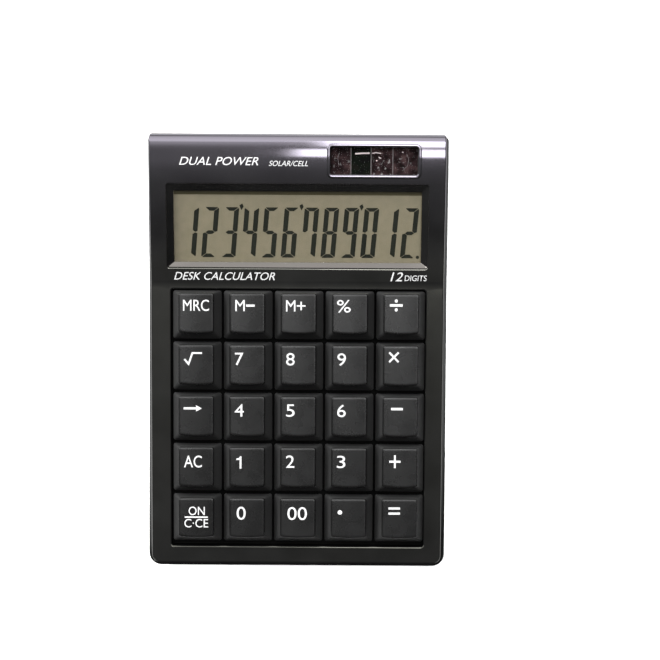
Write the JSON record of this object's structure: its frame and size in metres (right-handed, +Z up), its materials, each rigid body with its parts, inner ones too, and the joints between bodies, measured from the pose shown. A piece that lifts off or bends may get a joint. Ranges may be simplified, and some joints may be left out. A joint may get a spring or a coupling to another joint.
{
  "type": "desk calculator",
  "caption": "Black battery and solar desk calculator with a raised tilted display, a solar cell and a grid of tall dished keys that press down one by one.",
  "frame": {"origin": "bottom centre of the whole calculator, on the table plane", "axes": "+X to the user's right, +Y from the user towards the display end, +Z up from the table"},
  "size_m": [0.107, 0.1544, 0.0346],
  "materials": {
    "upper_housing": "glossy black moulded plastic",
    "lower_housing": "fine matt black moulded plastic",
    "key_cap": "satin black, faint grain, white legend",
    "clear_window": "clear acrylic",
    "display_glass": "grey-green liquid crystal, dark segments",
    "inner_frame": "matt black",
    "flex_film": "amber film with fine lines",
    "solar_cell": "brown-black amorphous silicon in four strips",
    "circuit_board": "green solder mask",
    "epoxy": "black drop",
    "capacitor_sleeve": "dark blue shrink sleeve",
    "dome_rubber": "translucent grey silicone",
    "steel": "zinc plated",
    "cell_steel": "nickel plated",
    "contact_metal": "nickel plated spring strip",
    "foot_rubber": "matt black rubber",
    "wire_red": "red insulation",
    "wire_black": "black insulation"
  },
  "bodies": {
    "case": {"upper_housing": "upper_housing", "lower_housing": "lower_housing", "display_window": "clear_window", "solar_window": "clear_window", "lcd_front_glass": "display_glass", "lcd_rear_glass": "display_glass", "lcd_frame": "inner_frame", "key_guide_plate": "inner_frame", "lcd_flex_strip": "flex_film", "solar_cell": "solar_cell", "main_board": "circuit_board", "chip_blob": "epoxy", "capacitor": "capacitor_sleeve", "dome_sheet": "dome_rubber", "case_screw_front_left": "steel", "case_screw_front_right": "steel", "case_screw_middle_left": "steel", "case_screw_middle_right": "steel", "case_screw_back_left": "steel", "case_screw_back_right": "steel", "board_screw_back_left": "steel", "board_screw_back_right": "steel", "board_screw_front_left": "steel", "battery_cell": "cell_steel", "battery_contact_positive": "contact_metal", "battery_contact_negative": "contact_metal", "foot_front_left": "foot_rubber", "foot_front_right": "foot_rubber", "foot_back_left": "foot_rubber", "foot_back_right": "foot_rubber", "solar_wire_red": "wire_red", "battery_wire_red": "wire_red", "solar_wire_black": "wire_black", "battery_wire_black": "wire_black"},
    "key_mrc": {"key_mrc": "key_cap"},
    "key_m_minus": {"key_m_minus": "key_cap"},
    "key_m_plus": {"key_m_plus": "key_cap"},
    "key_percent": {"key_percent": "key_cap"},
    "key_divide": {"key_divide": "key_cap"},
    "key_sqrt": {"key_sqrt": "key_cap"},
    "key_7": {"key_7": "key_cap"},
    "key_8": {"key_8": "key_cap"},
    "key_9": {"key_9": "key_cap"},
    "key_multiply": {"key_multiply": "key_cap"},
    "key_backspace": {"key_backspace": "key_cap"},
    "key_4": {"key_4": "key_cap"},
    "key_5": {"key_5": "key_cap"},
    "key_6": {"key_6": "key_cap"},
    "key_minus": {"key_minus": "key_cap"},
    "key_ac": {"key_ac": "key_cap"},
    "key_1": {"key_1": "key_cap"},
    "key_2": {"key_2": "key_cap"},
    "key_3": {"key_3": "key_cap"},
    "key_plus": {"key_plus": "key_cap"},
    "key_on_clear": {"key_on_clear": "key_cap"},
    "key_0": {"key_0": "key_cap"},
    "key_00": {"key_00": "key_cap"},
    "key_point": {"key_point": "key_cap"},
    "key_equals": {"key_equals": "key_cap"},
    "battery_door": {"battery_door": "lower_housing"}
  },
  "joints": [
    {"name": "key_mrc_press", "type": "slide", "parent": "case", "child": "key_mrc", "axis": [0, 0.0976, -0.9952], "range_m": [0, 0.0025], "stiffness_N_per_m": 160, "springref_m": -0.0012, "deforming": ["dome_sheet"]},
    {"name": "key_m_minus_press", "type": "slide", "parent": "case", "child": "key_m_minus", "axis": [0, 0.0976, -0.9952], "range_m": [0, 0.0025], "stiffness_N_per_m": 160, "springref_m": -0.0012, "deforming": ["dome_sheet"]},
    {"name": "key_m_plus_press", "type": "slide", "parent": "case", "child": "key_m_plus", "axis": [0, 0.0976, -0.9952], "range_m": [0, 0.0025], "stiffness_N_per_m": 160, "springref_m": -0.0012, "deforming": ["dome_sheet"]},
    {"name": "key_percent_press", "type": "slide", "parent": "case", "child": "key_percent", "axis": [0, 0.0976, -0.9952], "range_m": [0, 0.0025], "stiffness_N_per_m": 160, "springref_m": -0.0012, "deforming": ["dome_sheet"]},
    {"name": "key_divide_press", "type": "slide", "parent": "case", "child": "key_divide", "axis": [0, 0.0976, -0.9952], "range_m": [0, 0.0025], "stiffness_N_per_m": 160, "springref_m": -0.0012, "deforming": ["dome_sheet"]},
    {"name": "key_sqrt_press", "type": "slide", "parent": "case", "child": "key_sqrt", "axis": [0, 0.0976, -0.9952], "range_m": [0, 0.0025], "stiffness_N_per_m": 160, "springref_m": -0.0012, "deforming": ["dome_sheet"]},
    {"name": "key_7_press", "type": "slide", "parent": "case", "child": "key_7", "axis": [0, 0.0976, -0.9952], "range_m": [0, 0.0025], "stiffness_N_per_m": 160, "springref_m": -0.0012, "deforming": ["dome_sheet"]},
    {"name": "key_8_press", "type": "slide", "parent": "case", "child": "key_8", "axis": [0, 0.0976, -0.9952], "range_m": [0, 0.0025], "stiffness_N_per_m": 160, "springref_m": -0.0012, "deforming": ["dome_sheet"]},
    {"name": "key_9_press", "type": "slide", "parent": "case", "child": "key_9", "axis": [0, 0.0976, -0.9952], "range_m": [0, 0.0025], "stiffness_N_per_m": 160, "springref_m": -0.0012, "deforming": ["dome_sheet"]},
    {"name": "key_multiply_press", "type": "slide", "parent": "case", "child": "key_multiply", "axis": [0, 0.0976, -0.9952], "range_m": [0, 0.0025], "stiffness_N_per_m": 160, "springref_m": -0.0012, "deforming": ["dome_sheet"]},
    {"name": "key_backspace_press", "type": "slide", "parent": "case", "child": "key_backspace", "axis": [0, 0.0976, -0.9952], "range_m": [0, 0.0025], "stiffness_N_per_m": 160, "springref_m": -0.0012, "deforming": ["dome_sheet"]},
    {"name": "key_4_press", "type": "slide", "parent": "case", "child": "key_4", "axis": [0, 0.0976, -0.9952], "range_m": [0, 0.0025], "stiffness_N_per_m": 160, "springref_m": -0.0012, "deforming": ["dome_sheet"]},
    {"name": "key_5_press", "type": "slide", "parent": "case", "child": "key_5", "axis": [0, 0.0976, -0.9952], "range_m": [0, 0.0025], "stiffness_N_per_m": 160, "springref_m": -0.0012, "deforming": ["dome_sheet"]},
    {"name": "key_6_press", "type": "slide", "parent": "case", "child": "key_6", "axis": [0, 0.0976, -0.9952], "range_m": [0, 0.0025], "stiffness_N_per_m": 160, "springref_m": -0.0012, "deforming": ["dome_sheet"]},
    {"name": "key_minus_press", "type": "slide", "parent": "case", "child": "key_minus", "axis": [0, 0.0976, -0.9952], "range_m": [0, 0.0025], "stiffness_N_per_m": 160, "springref_m": -0.0012, "deforming": ["dome_sheet"]},
    {"name": "key_ac_press", "type": "slide", "parent": "case", "child": "key_ac", "axis": [0, 0.0976, -0.9952], "range_m": [0, 0.0025], "stiffness_N_per_m": 160, "springref_m": -0.0012, "deforming": ["dome_sheet"]},
    {"name": "key_1_press", "type": "slide", "parent": "case", "child": "key_1", "axis": [0, 0.0976, -0.9952], "range_m": [0, 0.0025], "stiffness_N_per_m": 160, "springref_m": -0.0012, "deforming": ["dome_sheet"]},
    {"name": "key_2_press", "type": "slide", "parent": "case", "child": "key_2", "axis": [0, 0.0976, -0.9952], "range_m": [0, 0.0025], "stiffness_N_per_m": 160, "springref_m": -0.0012, "deforming": ["dome_sheet"]},
    {"name": "key_3_press", "type": "slide", "parent": "case", "child": "key_3", "axis": [0, 0.0976, -0.9952], "range_m": [0, 0.0025], "stiffness_N_per_m": 160, "springref_m": -0.0012, "deforming": ["dome_sheet"]},
    {"name": "key_plus_press", "type": "slide", "parent": "case", "child": "key_plus", "axis": [0, 0.0976, -0.9952], "range_m": [0, 0.0025], "stiffness_N_per_m": 160, "springref_m": -0.0012, "deforming": ["dome_sheet"]},
    {"name": "key_on_clear_press", "type": "slide", "parent": "case", "child": "key_on_clear", "axis": [0, 0.0976, -0.9952], "range_m": [0, 0.0025], "stiffness_N_per_m": 160, "springref_m": -0.0012, "deforming": ["dome_sheet"]},
    {"name": "key_0_press", "type": "slide", "parent": "case", "child": "key_0", "axis": [0, 0.0976, -0.9952], "range_m": [0, 0.0025], "stiffness_N_per_m": 160, "springref_m": -0.0012, "deforming": ["dome_sheet"]},
    {"name": "key_00_press", "type": "slide", "parent": "case", "child": "key_00", "axis": [0, 0.0976, -0.9952], "range_m": [0, 0.0025], "stiffness_N_per_m": 160, "springref_m": -0.0012, "deforming": ["dome_sheet"]},
    {"name": "key_point_press", "type": "slide", "parent": "case", "child": "key_point", "axis": [0, 0.0976, -0.9952], "range_m": [0, 0.0025], "stiffness_N_per_m": 160, "springref_m": -0.0012, "deforming": ["dome_sheet"]},
    {"name": "key_equals_press", "type": "slide", "parent": "case", "child": "key_equals", "axis": [0, 0.0976, -0.9952], "range_m": [0, 0.0025], "stiffness_N_per_m": 160, "springref_m": -0.0012, "deforming": ["dome_sheet"]},
    {"name": "battery_door_slide", "type": "slide", "parent": "case", "child": "battery_door", "axis": [0, 1, 0], "range_m": [0, 0.0225]}
  ]
}
